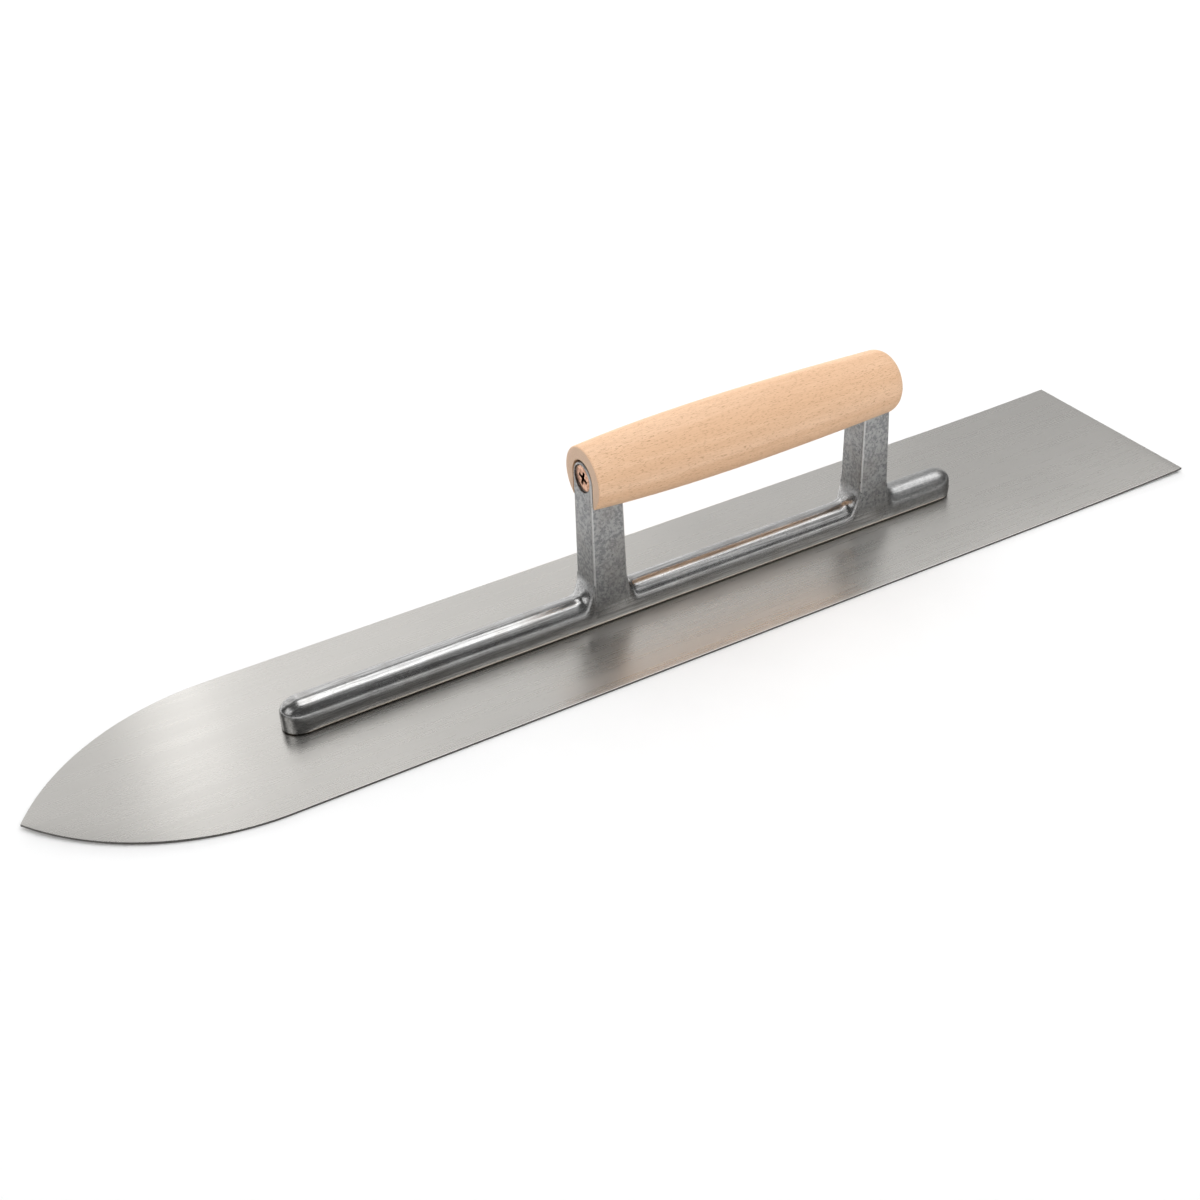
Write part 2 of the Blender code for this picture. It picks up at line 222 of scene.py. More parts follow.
FULL_CREASE = POST_FILLET + CROWN_HEIGHT - POST_EDGE


# Mesh helpers --------------------------------------------------------------------------------

def piece_from(name, shape, material):
    """Turns a bmesh into an object, smooth except at its real edges."""
    bmesh.ops.recalc_face_normals(shape, faces=shape.faces)
    mesh = bpy.data.meshes.new(name)
    shape.to_mesh(mesh)
    shape.free()
    mesh.shade_smooth()
    mesh.set_sharp_from_angle(angle=SHARP_ANGLE)
    mesh.materials.append(material)
    piece = bpy.data.objects.new(name, mesh)
    bpy.context.scene.collection.objects.link(piece)
    return piece


def loft(rings):
    """A closed skin over rings with the same number of points."""
    shape = bmesh.new()
    loops = [[shape.verts.new(point) for point in ring] for ring in rings]
    for low, high in zip(loops, loops[1:]):
        for i in range(len(low)):
            j = (i + 1) % len(low)
            shape.faces.new((low[i], low[j], high[j], high[i]))
    shape.faces.new(reversed(loops[0]))
    shape.faces.new(loops[-1])
    return shape


def turned(profile, steps):
    """A body turned about X from pairs of place and radius."""
    angles = [math.tau * i / steps for i in range(steps)]
    return loft([[(x, r * math.cos(a), r * math.sin(a)) for a in angles] for x, r in profile])


def shaped(piece, tools, operation):
    """Joins or cuts the piece with other bodies and keeps the result as its mesh."""
    helpers = []
    for shape in tools:
        bmesh.ops.recalc_face_normals(shape, faces=shape.faces)
        mesh = bpy.data.meshes.new("helper")
        shape.to_mesh(mesh)
        shape.free()
        helper = bpy.data.objects.new("helper", mesh)
        bpy.context.scene.collection.objects.link(helper)
        modifier = piece.modifiers.new("shape", "BOOLEAN")
        modifier.operation = operation
        modifier.solver = "EXACT"
        modifier.object = helper
        helpers.append(helper)
    graph = bpy.context.evaluated_depsgraph_get()
    result = bpy.data.meshes.new_from_object(piece.evaluated_get(graph))
    result.name = piece.name
    piece.modifiers.clear()
    piece.data = result
    result.shade_smooth()
    result.set_sharp_from_angle(angle=SHARP_ANGLE)
    for helper in helpers:
        mesh = helper.data
        bpy.data.objects.remove(helper, do_unlink=True)
        bpy.data.meshes.remove(mesh)


def place(piece, node):
    """Puts the piece on the one body, in place of its CAD node."""
    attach(piece, "root")
    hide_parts(node)


def at_screw(face_x, inward):
    """Moves a body made along +X to a screw's axis, pointing into the handle."""
    turn = Matrix.Identity(4) if inward > 0 else Matrix.Rotation(math.pi, 4, "Z")
    return Matrix.Translation((face_x, 0, HANDLE_AXIS_Z)) @ turn


# Material helpers ----------------------------------------------------------------------------

class Nodes:
    """A small wrapper that adds nodes to one material."""

    def __init__(self, name, roughness, metallic=0.0, anisotropy=0.0, level=0.5):
        self.material = bpy.data.materials.new(name)
        self.material.use_nodes = True
        self.tree = self.material.node_tree
        self.shader = self.tree.nodes["Principled BSDF"]
        self.shader.inputs["Roughness"].default_value = roughness
        self.shader.inputs["Metallic"].default_value = metallic
        self.shader.inputs["Anisotropic"].default_value = anisotropy
        self.shader.inputs["Specular IOR Level"].default_value = level
        self.coords = self.tree.nodes.new("ShaderNodeTexCoord").outputs["Object"]

    def plug(self, source, socket):
        if isinstance(source, bpy.types.NodeSocket):
            self.tree.links.new(source, socket)
        else:
            socket.default_value = source

    def stretched(self, scale, turn=(0, 0, 0)):
        node = self.tree.nodes.new("ShaderNodeMapping")
        self.plug(self.coords, node.inputs["Vector"])
        node.inputs["Scale"].default_value = scale
        node.inputs["Rotation"].default_value = turn
        return node.outputs["Vector"]

    def noise(self, vector, scale=1.0, detail=2.0, roughness=0.5, distortion=0.0):
        node = self.tree.nodes.new("ShaderNodeTexNoise")
        self.plug(vector, node.inputs["Vector"])
        node.inputs["Scale"].default_value = scale
        node.inputs["Detail"].default_value = detail
        node.inputs["Roughness"].default_value = roughness
        node.inputs["Distortion"].default_value = distortion
        return node.outputs["Fac"]

    def ramp(self, value, low, high, to_low=0.0, to_high=1.0):
        node = self.tree.nodes.new("ShaderNodeMapRange")
        node.interpolation_type = "SMOOTHSTEP"
        self.plug(value, node.inputs["Value"])
        node.inputs["From Min"].default_value = low
        node.inputs["From Max"].default_value = high
        node.inputs["To Min"].default_value = to_low
        node.inputs["To Max"].default_value = to_high
        return node.outputs["Result"]

    def math(self, operation, first, second=0.0):
        node = self.tree.nodes.new("ShaderNodeMath")
        node.operation = operation
        self.plug(first, node.inputs[0])
        self.plug(second, node.inputs[1])
        return node.outputs[0]

    def mix(self, share, first, second):
        node = self.tree.nodes.new("ShaderNodeMix")
        node.data_type = "RGBA"
        self.plug(share, node.inputs["Factor"])
        for source, socket in ((first, node.inputs[6]), (second, node.inputs[7])):
            self.plug((*source, 1.0) if isinstance(source, tuple) else source, socket)
        return node.outputs[2]

    def axis(self, which, source=None):
        node = self.tree.nodes.new("ShaderNodeSeparateXYZ")
        self.plug(source or self.coords, node.inputs[0])
        return node.outputs[which]

    def normal_axis(self, which):
        node = self.tree.nodes.new("ShaderNodeNewGeometry")
        return self.axis(which, node.outputs["Normal"])

    def bump(self, height, distance, strength):
        node = self.tree.nodes.new("ShaderNodeBump")
        node.inputs["Distance"].default_value = distance
        node.inputs["Strength"].default_value = strength
        self.plug(height, node.inputs["Height"])
        return node.outputs["Normal"]

    def finish(self, colour, roughness=None, normal=None):
        for source, name in ((colour, "Base Color"), (roughness, "Roughness"), (normal, "Normal")):
            if source is not None:
                self.plug(source, self.shader.inputs[name])
        return self.material


def brushed_steel():
    """Rolled sheet brushed along its length, with a few longer scratches and faint stains."""
    n = Nodes("brushed_steel", 0.28, metallic=1.0, anisotropy=0.70)
    fine = n.noise(n.stretched((60, 2600, 2600)), detail=3.0, roughness=0.6)
    broad = n.noise(n.stretched((6, 300, 300)), detail=2.0)
    cloud = n.noise(n.coords, scale=22.0, detail=3.0)
    speck = n.noise(n.coords, scale=1400.0, detail=1.0)
    scratch = n.noise(n.stretched((11, 2300, 2300), turn=(0, 0, 0.03)), detail=0.0)
    scratch = n.ramp(scratch, 0.74, 0.80)
    tone = n.mix(fine, (0.620, 0.603, 0.575), (0.640, 0.623, 0.595))
    tone = n.mix(n.ramp(cloud, 0.3, 0.7, 0.0, 0.20), tone, (0.52, 0.51, 0.485))
    tone = n.mix(n.ramp(speck, 0.68, 0.76, 0.0, 0.25), tone, (0.38, 0.37, 0.35))
    # Painted highlight along the sheet's eased edges, and painted shade on its upright sides.
    painted_edge_facing = n.math("ABSOLUTE", n.normal_axis(2))
    tone = n.mix(n.ramp(painted_edge_facing, 0.99, 0.93), tone, (0.92, 0.90, 0.87))
    tone = n.mix(n.ramp(painted_edge_facing, 0.65, 0.40), tone, (0.11, 0.105, 0.10))
    tone = n.mix(n.math("MULTIPLY", scratch, 0.06), tone, (0.44, 0.43, 0.41))
    rough = n.math("ADD", n.ramp(fine, 0.3, 0.7, 0.27, 0.29), n.ramp(broad, 0.3, 0.7, -0.01, 0.01))
    # The highlight spreads across the brushing, which runs along the blade.
    tangent = n.tree.nodes.new("ShaderNodeTangent")
    tangent.direction_type = "UV_MAP"
    tangent.uv_map = "brushing"
    n.plug(tangent.outputs[0], n.shader.inputs["Tangent"])
    return n.finish(tone, rough, n.bump(fine, 0.0000025, 0.05))


def cast_aluminium():
    """A rail rubbed bright along its crown, and posts that keep their finely pitted skin."""
    n = Nodes("cast_aluminium", 0.3, metallic=1.0)
    grain = n.noise(n.coords, scale=2100.0, detail=3.0, roughness=0.7)
    mottle = n.noise(n.coords, scale=800.0, detail=3.0, roughness=0.65)
    cloud = n.noise(n.coords, scale=110.0, detail=3.0)
    rubbed = n.noise(n.stretched((45, 1700, 1700)), detail=4.0, roughness=0.7)
    # Cast skin: the posts, down to the rail beside them, and partly the rail's rear end.
    height = n.math("ADD", n.axis(2), n.ramp(cloud, 0.3, 0.7, -0.001, 0.001))
    post = n.ramp(height, 0.0150, 0.0200)
    for middle, (_, width) in POSTS:
        away = n.math("ABSOLUTE", n.math("SUBTRACT", n.axis(0), middle))
        beside = n.ramp(away, 0.5 * width - 0.0006, 0.5 * width + 0.0012, 1.0, 0.0)
        post = n.math("MAXIMUM", post, n.math("MULTIPLY", beside, n.ramp(height, 0.0070, 0.0130)))
    rear = n.ramp(n.axis(0), 0.108, 0.122, 0.0, 0.50)
    skin = n.math("MAXIMUM", post, rear)
    pits = n.ramp(n.noise(n.coords, scale=1500.0, detail=1.0), 0.67, 0.75)
    pits = n.math("MULTIPLY", pits, n.ramp(skin, 0.0, 1.0, 0.3, 1.0))
    # Wear along the posts' rounded edges, where the normal lies between X and Y.
    turn = n.math("MULTIPLY", n.normal_axis(0), n.normal_axis(1))
    wear = n.math("MULTIPLY", n.ramp(n.math("ABSOLUTE", turn), 0.10, 0.36), post)
    # The undercut foot is painted bright and tan as a reflection, above a thin painted contact
    # shadow.
    painted_foot_reflection = n.ramp(n.normal_axis(2), -0.16, -0.20)
    bright = n.mix(n.ramp(rubbed, 0.35, 0.65), (0.37, 0.37, 0.37), (0.66, 0.66, 0.655))
    raw = n.mix(n.ramp(mottle, 0.38, 0.62), (0.26, 0.265, 0.27), (0.46, 0.46, 0.457))
    tone = n.mix(skin, bright, raw)
    tone = n.mix(n.ramp(cloud, 0.4, 0.75, 0.0, 0.35), tone, (0.34, 0.315, 0.295))
    tone = n.mix(n.math("MULTIPLY", wear, 0.8), tone, (0.78, 0.78, 0.77))
    # Painted reflection on the down-facing undercut foot.
    tone = n.mix(painted_foot_reflection, tone, (0.86, 0.80, 0.72))
    # Painted contact shadow along the bottom of the foot, where the rail meets the blade.
    tone = n.mix(n.ramp(n.axis(2), 0.0019, 0.0015), tone, (0.09, 0.075, 0.06))
    tone = n.mix(n.math("MULTIPLY", pits, 0.75), tone, (0.08, 0.075, 0.07))
    rough = n.math("ADD", n.ramp(skin, 0.0, 1.0, 0.23, 0.46), n.ramp(mottle, 0.3, 0.7, -0.02, 0.03))
    relief = n.math("ADD", n.math("MULTIPLY", grain, 0.5), n.math("MULTIPLY", mottle, 0.7))
    relief = n.math("MULTIPLY", relief, n.ramp(skin, 0.0, 1.0, 0.04, 1.0))
    relief = n.math("ADD", relief, n.math("MULTIPLY", rubbed, n.ramp(skin, 0.0, 1.0, 0.16, 0.0)))
    relief = n.math("SUBTRACT", relief, n.math("MULTIPLY", pits, 0.8))
    return n.finish(tone, rough, n.bump(relief, 0.0001, 0.6))


def beech():
    """Steamed beech turned along the grain: short ray flecks, soft bands and darker end grain."""
    n = Nodes("beech", 0.5, level=0.35)
    fibre = n.noise(n.stretched((110, 2400, 2400)), detail=3.0, roughness=0.6)
    band = n.noise(n.stretched((7, 120, 230), turn=(0.3, 0, 0)), detail=2.0, distortion=0.4)
    fleck = n.ramp(n.noise(n.stretched((620, 3900, 3900)), detail=1.0), 0.60, 0.69)
    tone = n.mix(n.ramp(band, 0.3, 0.7), (0.84, 0.54, 0.335), (0.92, 0.625, 0.415))
    tone = n.mix(n.ramp(fibre, 0.35, 0.65, 0.0, 0.45), tone, (0.74, 0.46, 0.28))
    tone = n.mix(n.math("MULTIPLY", fleck, 0.62), tone, (0.45, 0.22, 0.10))
    end = n.ramp(n.math("ABSOLUTE", n.normal_axis(0)), 0.80, 0.98)
    pores = n.noise(n.coords, scale=2400.0, detail=2.0)
    tone = n.mix(end, tone, n.mix(pores, (0.62, 0.42, 0.29), (0.86, 0.61, 0.44)))
    rough = n.ramp(fibre, 0.3, 0.7, 0.45, 0.60)
    relief = n.math("SUBTRACT", n.math("MULTIPLY", fibre, 0.4), fleck)
    return n.finish(tone, rough, n.bump(relief, 0.00005, 0.5))


def coppery_brass():
    """Brass worn pinkish, with a fine grain, tarnish spots and painted shade on walls that don't
    face along the screw, as in the cross recess.
    """
    n = Nodes("coppery_brass", 0.3, metallic=1.0)
    spots = n.noise(n.coords, scale=900.0, detail=3.0)
    tone = n.mix(n.ramp(spots, 0.35, 0.65), (0.46, 0.24, 0.15), (0.80, 0.48, 0.33))
    grain = n.noise(n.coords, scale=3500.0, detail=2.0)
    rough = n.ramp(spots, 0.3, 0.7, 0.38, 0.24)
    painted_wall_shade = n.ramp(n.math("ABSOLUTE", n.normal_axis(0)), 0.85, 0.55)
    # Painted shade on the side walls, deepest in the cross recess.
    tone = n.mix(painted_wall_shade, tone, (0.07, 0.035, 0.02))
    return n.finish(tone, rough, n.bump(grain, 0.00004, 0.5))


def rivet_steel():
    """Rivet heads ground flush, with the grinding marks running along the blade."""
    n = Nodes("rivet_steel", 0.34, metallic=1.0)
    marks = n.noise(n.stretched((30, 2600, 2600)), detail=2.0)
    tone = n.mix(marks, (0.42, 0.41, 0.40), (0.60, 0.59, 0.58))
    return n.finish(tone, n.ramp(marks, 0.3, 0.7, 0.28, 0.42), n.bump(marks, 0.00002, 0.4))


# Blade ---------------------------------------------------------------------------------------

def blade_half_width(from_point):
    """The point is two arcs that run smoothly into the straight sides."""
    point_length = math.sqrt(POINT_ARC_RADIUS ** 2 - (POINT_ARC_RADIUS - BLADE_HALF) ** 2)
    if from_point >= point_length:
        return BLADE_HALF
    drop = math.sqrt(POINT_ARC_RADIUS ** 2 - (point_length - from_point) ** 2)
    return max(BLADE_HALF - POINT_ARC_RADIUS + drop, POINT_BLUNT / 2)


def edge_arc(radius, start):
    """A quarter circle from a starting angle in degrees."""
    angles = [math.radians(start + 90.0 * i / EDGE_STEPS) for i in range(EDGE_STEPS + 1)]
    return [(radius * math.cos(a), radius * math.sin(a)) for a in angles]


def blade_ring(distance, inset):
    """The blade's section: a thin strip with eased edges."""
    x = BLADE_LOW.x + distance
    from_end = min(distance, BLADE_LENGTH - distance)
    share = max(0.0, 1.0 - from_end / END_LIFT_LENGTH)
    lift = END_LIFT * share * (END_LIFT_STRAIGHT + (1 - END_LIFT_STRAIGHT) * share)
    half = blade_half_width(distance) - inset
    edge = min(BLADE_EDGE, EDGE_MAX_SHARE * half)
    low = lift + inset
    high = lift + BLADE_THICKNESS - inset
    ring = []
    for centre_y, centre_z, start in (
        (-half + edge, low + edge, 180),
        (half - edge, low + edge, 270),
        (half - edge, high - edge, 0),
        (-half + edge, high - edge, 90),
    ):
        ring += [(x, centre_y + dy, centre_z + dz) for dy, dz in edge_arc(edge, start)]
    return ring


def make_blade(material):
    quarter = math.pi / 2
    stations = [TIP_RUN * (1 - math.cos(quarter * i / TIP_STEPS)) for i in range(TIP_STEPS)]
    count = math.ceil((BLADE_LENGTH - TIP_RUN) / STRAIGHT_STEP)
    stations += [TIP_RUN + STRAIGHT_STEP * i for i in range(count)]
    stations = [d for d in stations if d < BLADE_LENGTH - BLADE_EDGE]
    rings = [blade_ring(d, 0.0) for d in stations]
    for i in range(END_EDGE_STEPS + 1):
        angle = quarter * i / END_EDGE_STEPS
        inset = END_EDGE_SHARE * BLADE_EDGE * (1 - math.cos(angle))
        rings.append(blade_ring(BLADE_LENGTH - BLADE_EDGE * (1 - math.sin(angle)), inset))
    blade = piece_from("blade_sheet", loft(rings), material)
    shaped(blade, rivet_holes(), "DIFFERENCE")
    brushing = blade.data.uv_layers.new(name="brushing")
    for loop in blade.data.loops:
        point = blade.data.vertices[loop.vertex_index].co
        brushing.data[loop.index].uv = (point.y, point.x)
    place(blade, "blade")


# Mounting ------------------------------------------------------------------------------------

def wall_half(z):
    """Half the mounting's width, which tapers from the blade up to the screws."""
    share = (z - BLADE_THICKNESS) / (HANDLE_AXIS_Z - BLADE_THICKNESS)
    return BASE_HALF + (TOP_HALF - BASE_HALF) * share


def post_half(post, z):
    """Half a post's thickness along the blade."""
    share = (z - SPRING_Z) / (HANDLE_AXIS_Z - SPRING_Z)
    return (post[1] + (post[0] - post[1]) * share) / 2


def rail_ring(x, plan=1.0, rise=0.0, crease_rise=0.0, squareness=0.0):
    """The rail's section at one place: undercut foot, wall, parting ledge and crown.

    The wall curves in towards the crown, which starts at the wall's own lean. plan narrows
    the section at the rail's ends. In a post's fillet rise lifts the top, crease_rise lifts
    the parting line, and squareness straightens the wall and flattens the crown into the
    post's face.
    """
    from_front = (x - CAST_LOW.x - BEVEL_LOW_LENGTH) / TAPER_LENGTH
    bevel_share = BEVEL_LOW_SHARE + (1 - BEVEL_LOW_SHARE) * min(1.0, max(0.0, from_front))
    behind = min(1.0, max(0.0, (x - REAR_POST_X) / TAPER_LENGTH))
    ripple = CROWN_RIPPLE * noise.noise(Vector((x * RIPPLE_RATE, 0.0, 0.0)))
    full_ledge = max(squareness, 1 - plan)
    ledge = PARTING_LEDGE * (FAINT_LEDGE_SHARE + (1 - FAINT_LEDGE_SHARE) * full_ledge)
    curve = WALL_CURVE * (1 - squareness)
    spring = SPRING_Z + crease_rise
    top = SPRING_Z + (CROWN_HEIGHT + ripple - REAR_CROWN_DROP * behind) * plan + rise
    power = 2.0 + 3.0 * squareness
    knee = CAST_BASE_Z + BEVEL_HEIGHT * bevel_share
    side = [((wall_half(CAST_BASE_Z) - BEVEL_INSET * bevel_share) * plan, CAST_BASE_Z)]
    for share in WALL_SHARES:
        z = knee + (spring - knee) * share
        side.append(((wall_half(z) - curve * share ** 2) * plan, z))
    half = (wall_half(spring) - curve) * plan
    side.append((half - LEDGE_LIP_SHARE * ledge * plan, spring))
    half -= ledge * plan
    arc = []
    start = math.atan(2 * curve / (spring - knee) * (top - spring) / half)
    start_across = math.cos(start) ** (2 / power)
    start_up = math.sin(start) ** (2 / power)
    for i in range(CROWN_STEPS + 1):
        a = start + (math.pi - 2 * start) * i / CROWN_STEPS
        across = math.copysign(abs(math.cos(a)) ** (2 / power), math.cos(a)) / start_across
        up = (math.sin(a) ** (2 / power) - start_up) / (1 - start_up)
        arc.append((x, -half * across, spring + (top - spring) * max(up, 0.0)))
    near_side = [(x, -y, z) for y, z in side]
    far_side = [(x, y, z) for y, z in reversed(side)]
    return near_side + arc + far_side


def fillet_rings(face_x, outward):
    """The rail rising in a quarter circle to a post's face, from the face outwards."""
    rings = []
    for i in range(1, FILLET_STEPS + 1):
        angle = math.pi / 2 * (1 - i / FILLET_STEPS)
        run = POST_FILLET * (1 - math.sin(angle))
        rise = POST_FILLET * (1 - math.cos(angle))
        near = max(0.0, 1 - run / CREASE_RUN)
        crease = FULL_CREASE * (1 - math.sqrt(1 - near ** 2))
        rings.append((face_x + outward * run, 1.0, rise, crease, near ** 2))
    return rings


def end_rings(end_x, inward):
    """The rail's rounded end, from its tip inwards."""
    rings = []
    for i in range(1, RAIL_END_STEPS + 1):
        angle = math.pi / 2 * i / RAIL_END_STEPS
        run = RAIL_END_ROUND * (1 - math.cos(angle))
        rings.append((end_x + inward * run, math.sin(angle)))
    return rings


def straight_rings(stations, until):
    """Plain rail from the last station made to a place further back."""
    start = stations[-1][0]
    count = max(2, int((until - start) / RAIL_STEP))
    return [(start + (until - start) * i / count,) for i in range(1, count)]


def rail_body():
    """The rail from its front end to its rear end, with a fillet up to each post's faces."""
    stations = end_rings(CAST_LOW.x, 1)
    for middle, post in POSTS:
        half = post_half(post, SPRING_Z + CROWN_HEIGHT + FILLET_FACE_SHARE * POST_FILLET)
        front = list(reversed(fillet_rings(middle - half, -1)))
        stations += straight_rings(stations, front[0][0])
        stations += front
        inner = half - 2 * POST_EDGE
        stations.append((middle - inner, 1.0, POST_FILLET, FULL_CREASE, 1.0))
        stations.append((middle + inner, 1.0, POST_FILLET, FULL_CREASE, 1.0))
        stations += fillet_rings(middle + half, 1)
    rear = list(reversed(end_rings(CAST_HIGH.x, -1)))
    stations += straight_rings(stations, rear[0][0])
    stations += rear
    return loft([rail_ring(*station) for station in stations])


def half_circle(radius):
    """The half circle at the top of a post, and of the slot that takes it."""
    angles = [math.pi * i / ROUND_TOP_STEPS for i in range(ROUND_TOP_STEPS + 1)]
    return [(-radius * math.cos(a), radius * math.sin(a)) for a in angles]


def post_body(middle, post):
    """A post: drafted sides, a round top about the screw, and rounded edges."""
    foot_z = BLADE_THICKNESS + POST_SUNK_FOOT
    height = HANDLE_AXIS_Z - foot_z
    heights = [foot_z + height * i / POST_STEPS for i in range(POST_STEPS)]
    right = [(wall_half(z) + POST_SIDE_STEP, z) for z in heights]
    outline = [(-y, z) for y, z in right]
    outline += [(y, HANDLE_AXIS_Z + z) for y, z in half_circle(TOP_HALF)]
    outline += [(y, z) for y, z in reversed(right)]
    rings = []
    turn = [math.pi / 2 * i / POST_EDGE_STEPS for i in range(POST_EDGE_STEPS + 1)]
    sides = [(-1, a) for a in turn] + [(1, a) for a in reversed(turn)]
    for side, a in sides:
        inset, back = POST_EDGE * (1 - math.sin(a)), POST_EDGE * (1 - math.cos(a))
        ring = []
        for y, z in outline:
            scale = 1 - inset / TOP_HALF
            rise = max(z - HANDLE_AXIS_Z, 0.0) * scale
            x = middle + side * (post_half(post, z) - back)
            ring.append((x, y * scale, min(z, HANDLE_AXIS_Z + rise)))
        rings.append(ring)
    return loft(rings)


def screw_hole(face_x, inward):
    """Cuts a broken edge, a short straight rim, a countersink and a bore."""
    shank = SCREW_SHANK_RADIUS + SHANK_GAP
    profile = [
        (-CUT_OVERRUN, HOLE_RIM + HOLE_BREAK + CUT_OVERRUN),
        (0.0, HOLE_RIM + HOLE_BREAK),
        (HOLE_BREAK, HOLE_RIM),
        (HOLE_STRAIGHT, HOLE_RIM),
        (HOLE_STRAIGHT + HOLE_RIM - shank, shank),
        (HOLE_DEPTH, shank),
    ]
    cutter = turned(profile, SCREW_TURN_STEPS)
    cutter.transform(at_screw(face_x, inward))
    return cutter


def make_mounting(material):
    mounting = piece_from("mounting_casting", rail_body(), material)
    shaped(mounting, [post_body(middle, post) for middle, post in POSTS], "UNION")
    cuts = [screw_hole(FRONT_FACE_X, 1), screw_hole(REAR_FACE_X, -1)] + rivet_holes()
    shaped(mounting, cuts, "DIFFERENCE")
    place(mounting, "mounting")


# Handle --------------------------------------------------------------------------------------

def handle_radius(from_front):
    """The handle swells to its belly and falls away to both ends."""
    if from_front < BELLY_FROM_FRONT:
        share, end, power = 1 - from_front / BELLY_FROM_FRONT, FRONT_RADIUS, FRONT_POWER
    else:
        share = (from_front - BELLY_FROM_FRONT) / (HANDLE_LENGTH - BELLY_FROM_FRONT)
        end, power = REAR_RADIUS, REAR_POWER
    return BELLY_RADIUS - (BELLY_RADIUS - end) * share ** power


def end_round(radius, side_radius, steps):
    """A quarter circle at a turned end: depth from the end face, and radius."""
    angles = [math.pi / 2 * i / steps for i in range(steps + 1)]
    return [
        (radius * (1 - math.sin(a)), side_radius - radius * (1 - math.cos(a))) for a in angles
    ]


def handle_body():
    front = end_round(FRONT_BREAK, handle_radius(FRONT_BREAK), FRONT_BREAK_STEPS)
    profile = list(reversed(front))
    span = HANDLE_LENGTH - REAR_ROUND - FRONT_BREAK
    for i in range(1, HANDLE_STEPS):
        x = FRONT_BREAK + span * i / HANDLE_STEPS
        profile.append((x, handle_radius(x)))
    rear = end_round(REAR_ROUND, handle_radius(HANDLE_LENGTH - REAR_ROUND), REAR_ROUND_STEPS)
    profile += [(HANDLE_LENGTH - depth, radius) for depth, radius in rear]
    body = turned(profile, HANDLE_TURN_STEPS)
    body.transform(Matrix.Translation((WOOD_LOW.x, 0, HANDLE_AXIS_Z)))
    return body


def slot_body(end_x, middle, post, inward):
    """The slot that takes a post: round at the top and open at the bottom and the end."""
    half = TOP_HALF + SLOT_GAP
    outline = [(-half, -SLOT_DROP), *half_circle(half), (half, -SLOT_DROP)]
    near = end_x - inward * CUT_OVERRUN
    reach = post_half(post, HANDLE_AXIS_Z - BELLY_RADIUS) + SLOT_END_GAP
    ends = sorted((near, middle + inward * reach))
    return loft([[(x, y, HANDLE_AXIS_Z + z) for y, z in outline] for x in ends])


def pilot_body(face_x, inward):
    """The bore in the wood for a screw's shank."""
    cutter = turned([(x, PILOT_RADIUS) for x in PILOT_SPAN], PILOT_TURN_STEPS)
    cutter.transform(at_screw(face_x, inward))
    return cutter


def make_handle(material):
    handle = piece_from("handle_wood", handle_body(), material)
    cuts = [
        slot_body(WOOD_LOW.x, FRONT_POST_X, FRONT_POST, 1),
        slot_body(WOOD_HIGH.x, REAR_POST_X, REAR_POST, -1),
        pilot_body(FRONT_FACE_X, 1),
        pilot_body(REAR_FACE_X, -1),
    ]
    shaped(handle, cuts, "DIFFERENCE")
    place(handle, "handle")


# Screws and rivets ---------------------------------------------------------------------------

def recess_arm(turn):
    """One arm of the cross recess, narrowing to its floor."""
    rings = []
    sections = (
        (-RECESS_OVERRUN, RECESS_MOUTH_SHARE),
        (0.0, 1.0),
        (RECESS_DEPTH, RECESS_FLOOR_SHARE),
    )
    for x, share in sections:
        long_half = RECESS_SPAN / 2 * share
        short_half = RECESS_WIDTH / 2 * share
        corners = ((-1, -1), (1, -1), (1, 1), (-1, 1))
        rings.append([(x, sy * long_half, sz * short_half) for sy, sz in corners])
    arm = loft(rings)
    arm.transform(Matrix.Rotation(turn, 4, "X"))
    return arm


def make_screw(name, node, material, face_x, inward, length):
    """A countersunk wood screw whose thread is cut as rings."""
    head, shank = SCREW_HEAD_RADIUS, SCREW_SHANK_RADIUS
    profile = [
        (0.0, head - SCREW_HEAD_RIM),
        (SCREW_HEAD_BREAK, head - SCREW_HEAD_BREAK),
        (SCREW_HEAD_RIM, head),
        (SCREW_HEAD_RIM + head - shank, shank),
    ]
    thread_end = length - SCREW_TIP_LENGTH
    root = shank * THREAD_ROOT_SHARE
    root_start, root_end = THREAD_ROOT_SPAN
    for i in range(int((thread_end - THREAD_START) / THREAD_PITCH)):
        x = THREAD_START + THREAD_PITCH * i
        profile += [(x, shank), (x + root_start, root), (x + root_end, root)]
    profile += [(thread_end, shank), (length, SCREW_TIP_SHARE * shank)]
    screw = piece_from(name, turned(profile, SCREW_TURN_STEPS), material)
    arms = [recess_arm(math.radians(RECESS_TURN + more)) for more in (0, 90)]
    shaped(screw, arms, "DIFFERENCE")
    screw.data.transform(at_screw(face_x, inward))
    place(screw, node)


def rivet_nodes():
    return sorted(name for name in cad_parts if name.startswith("rivet_"))


def rivet_places():
    places = []
    for name in rivet_nodes():
        low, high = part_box(name)
        places.append((low.x + high.x) / 2)
    return places


def rivet_body(place_x, gap, overrun):
    """A countersunk rivet standing on z = 0. With a gap, it cuts the hole for one."""
    head, shank = RIVET_HEAD_RADIUS + gap, RIVET_SHANK_RADIUS + gap
    profile = [(-overrun, head), (RIVET_HEAD_RIM, head), (RIVET_HEAD_DEPTH, shank)]
    profile.append((RIVET_LENGTH + gap, shank))
    body = turned(profile, RIVET_TURN_STEPS)
    body.transform(Matrix.Rotation(-math.pi / 2, 4, "Y"))
    body.transform(Matrix.Translation((place_x, 0, 0)))
    return body


def rivet_holes():
    return [rivet_body(x, RIVET_SEAM, RIVET_CUT_OVERRUN) for x in rivet_places()]


def make_rivets(material):
    for node, place_x in zip(rivet_nodes(), rivet_places()):
        rivet = piece_from(node + "_ground", rivet_body(place_x, 0.0, 0.0), material)
        place(rivet, node)


# Studio --------------------------------------------------------------------------------------

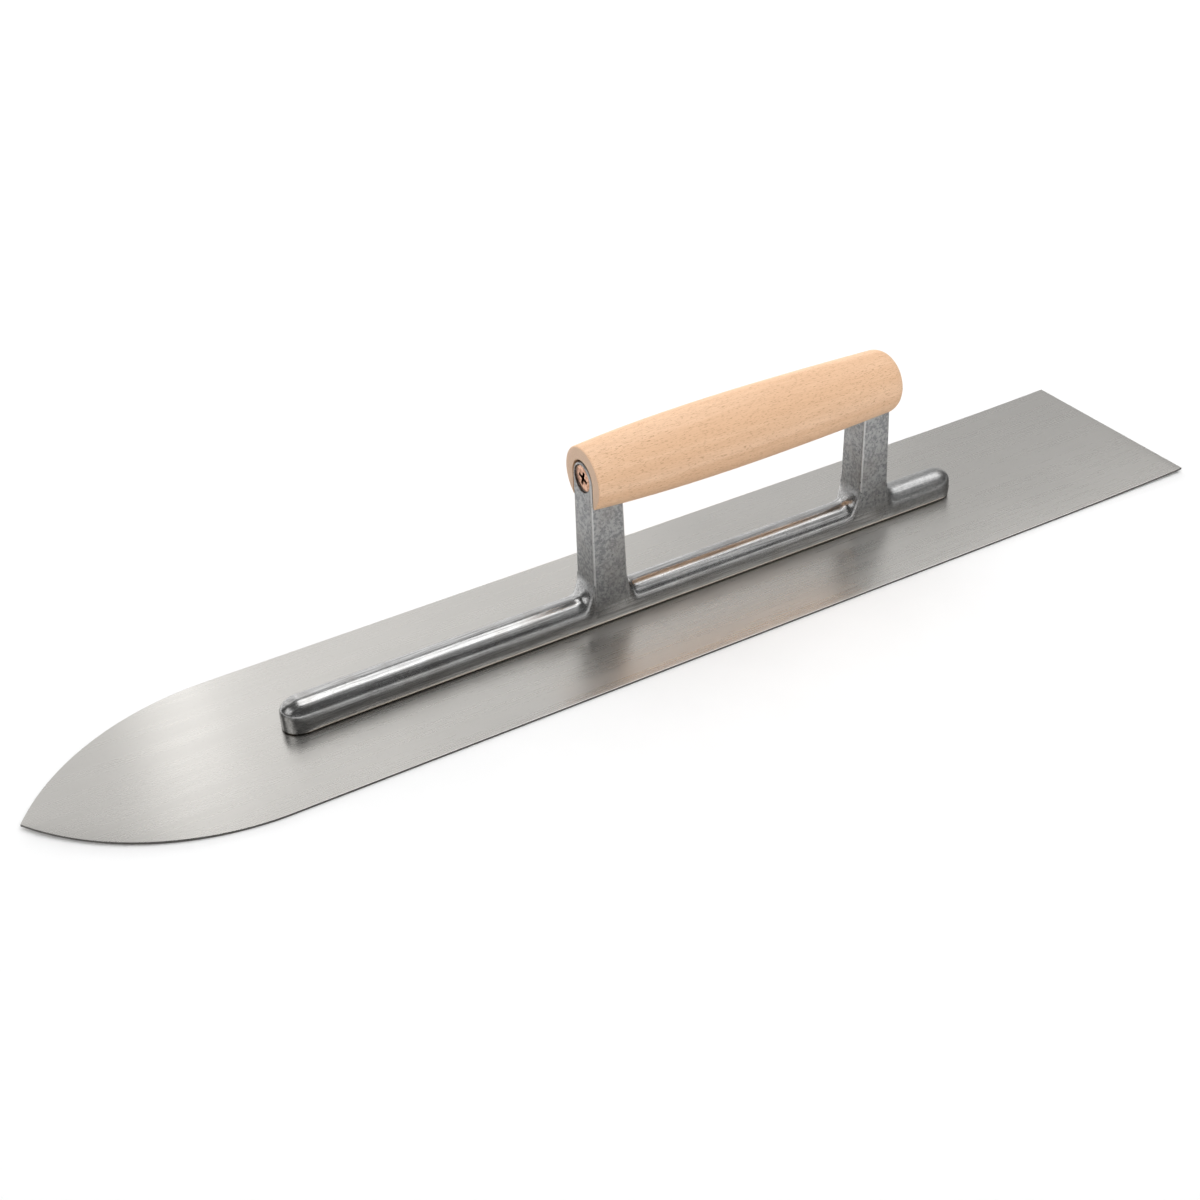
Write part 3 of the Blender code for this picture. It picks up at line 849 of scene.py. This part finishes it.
def make_floor():
    shape = bmesh.new()
    bmesh.ops.create_grid(shape, x_segments=8, y_segments=8, size=FLOOR_HALF)
    n = Nodes("pale_floor", 0.75, level=0.2)
    speck = n.noise(n.coords, scale=60.0)
    material = n.finish(n.mix(speck, (0.92, 0.92, 0.92), (0.94, 0.94, 0.94)))
    floor = piece_from("floor", shape, material)
    floor.location.z = -FLOOR_GAP


def softbox(name, spot, back, size, radiance):
    """A rectangular light at a spot, with back pointing away from what it lights."""
    light = bpy.data.lights.new(name, "AREA")
    light.shape = "RECTANGLE"
    light.size, light.size_y = size
    light.energy = radiance * math.pi * size[0] * size[1]
    lamp = bpy.data.objects.new(name, light)
    bpy.context.scene.collection.objects.link(lamp)
    lamp.location = spot
    lamp.rotation_mode = "QUATERNION"
    lamp.rotation_quaternion = Vector(back).to_track_quat("Z", "Y")
    return lamp


def aimed_softbox(name, direction, distance, size, radiance):
    """A panel that looks at the middle of the object."""
    back = Vector(direction).normalized()
    return softbox(name, back * distance, back, size, radiance)


def wall_softbox(name, from_azimuth, to_azimuth, top, radiance):
    """An upright panel that fills a range of azimuths, measured from +Y towards +X."""
    middle = math.radians((from_azimuth + to_azimuth) / 2)
    width = 2 * WALL_DISTANCE * math.tan(math.radians((to_azimuth - from_azimuth) / 2))
    back = Vector((math.sin(middle), math.cos(middle), 0.0))
    spot = back * WALL_DISTANCE + Vector((0, 0, (WALL_BOTTOM + top) / 2))
    return softbox(name, spot, back, (width, top - WALL_BOTTOM), radiance)


def make_lights():
    world = bpy.data.worlds.new("studio")
    bpy.context.scene.world = world
    world.use_nodes = True
    background = world.node_tree.nodes["Background"]
    background.inputs["Color"].default_value = (1.0, 1.0, 1.0, 1.0)
    background.inputs["Strength"].default_value = WORLD_RADIANCE
    for panel in PANELS:
        aimed_softbox(*panel)
    for panel in WALL_PANELS:
        wall_softbox(*panel)
    for panel in FILL_PANELS:
        aimed_softbox(*panel).visible_glossy = False


def make_camera():
    azimuth = math.radians(CAMERA_AZIMUTH)
    elevation = math.radians(CAMERA_ELEVATION)
    roll = math.radians(CAMERA_ROLL)
    back = Vector((
        math.sin(azimuth) * math.cos(elevation),
        -math.cos(azimuth) * math.cos(elevation),
        math.sin(elevation),
    ))
    across = Vector((0, 0, 1)).cross(back).normalized()
    up = back.cross(across)
    right = math.cos(roll) * across + math.sin(roll) * up
    upward = -math.sin(roll) * across + math.cos(roll) * up
    placing = Matrix((right, upward, back)).transposed().to_4x4()
    placing.translation = Vector(CAMERA_TARGET) + back * CAMERA_DISTANCE
    data = bpy.data.cameras.new("camera")
    data.lens = CAMERA_LENS
    data.sensor_width = CAMERA_SENSOR
    data.shift_x, data.shift_y = CAMERA_SHIFT
    data.clip_start = 0.01
    camera = bpy.data.objects.new("camera", data)
    camera.matrix_world = placing
    bpy.context.scene.collection.objects.link(camera)
    bpy.context.scene.camera = camera


make_camera()
make_lights()
make_floor()
make_blade(brushed_steel())
make_mounting(cast_aluminium())
make_handle(beech())
brass = coppery_brass()
screw_length = FRONT_SCREW_HIGH.x - FRONT_SCREW_LOW.x
make_screw("front_screw_brass", "front_screw", brass, FRONT_SCREW_LOW.x, 1, screw_length)
make_screw("rear_screw_brass", "rear_screw", brass, REAR_SCREW_HIGH.x, -1, screw_length)
make_rivets(rivet_steel())
bpy.context.scene.view_settings.view_transform = "Standard"
